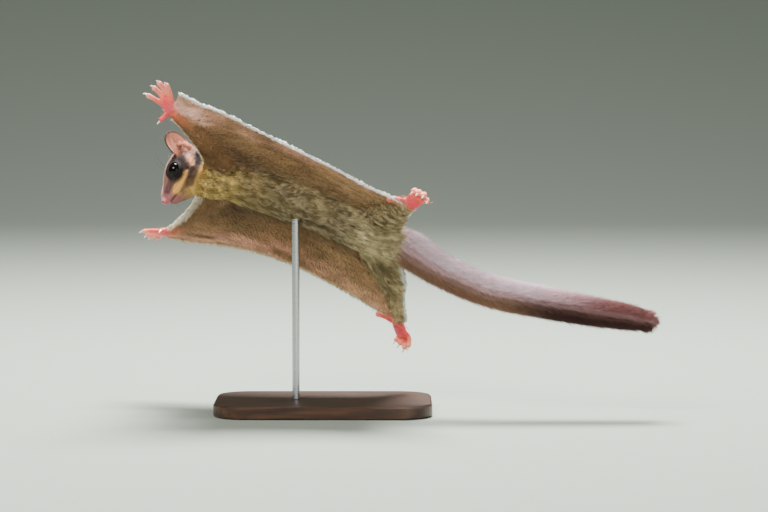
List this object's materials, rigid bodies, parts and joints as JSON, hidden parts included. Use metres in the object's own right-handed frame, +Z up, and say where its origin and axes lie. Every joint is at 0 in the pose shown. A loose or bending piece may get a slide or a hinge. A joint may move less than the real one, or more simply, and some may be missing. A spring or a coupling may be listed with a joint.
{
  "type": "gliding sugar glider on a stand",
  "caption": "Life-size figure of a sugar glider in mid glide, membranes spread, head turned to its left and tail trailing, held over a flat base by an upright rod.",
  "frame": {"origin": "middle of the underside of the stand's base", "axes": "+Z up; +X runs from the head towards the tail; +Y points away from the side that shows the belly"},
  "size_m": [0.3594, 0.1876, 0.2301],
  "materials": {
    "body_fur": "dense soft fur, grey-cream below and blue-grey above",
    "membrane_fur": "short thin fur over pinkish skin, pale fringe",
    "tail_fur": "long soft fur, grey, dark towards the tip",
    "bare_skin": "bare pink skin with fine creases",
    "ear_skin": "thin bare skin, dark at the rim",
    "eye": "wet black",
    "claw": "pale horn",
    "stand_wood": "dark satin",
    "stand_steel": "brushed"
  },
  "bodies": {
    "root": {"torso": "body_fur", "neck": "body_fur", "head": "body_fur", "eye_left": "eye", "ear_left": "ear_skin", "eye_right": "eye", "ear_right": "ear_skin", "tail_root": "tail_fur", "tail_middle": "tail_fur", "tail_tip": "tail_fur", "upper_arm_left": "body_fur", "forearm_left": "body_fur", "thigh_left": "body_fur", "shank_left": "body_fur", "hand_left": "bare_skin", "claw_hand_left_thumb": "claw", "claw_hand_left_index": "claw", "claw_hand_left_middle": "claw", "claw_hand_left_ring": "claw", "claw_hand_left_little": "claw", "foot_left": "bare_skin", "claw_foot_left_second": "claw", "claw_foot_left_third": "claw", "claw_foot_left_fourth": "claw", "claw_foot_left_fifth": "claw", "membrane_left": "membrane_fur", "upper_arm_right": "body_fur", "forearm_right": "body_fur", "thigh_right": "body_fur", "shank_right": "body_fur", "hand_right": "bare_skin", "claw_hand_right_thumb": "claw", "claw_hand_right_index": "claw", "claw_hand_right_middle": "claw", "claw_hand_right_ring": "claw", "claw_hand_right_little": "claw", "foot_right": "bare_skin", "claw_foot_right_second": "claw", "claw_foot_right_third": "claw", "claw_foot_right_fourth": "claw", "claw_foot_right_fifth": "claw", "membrane_right": "membrane_fur", "stand_base": "stand_wood", "stand_rod": "stand_steel"}
  },
  "joints": []
}
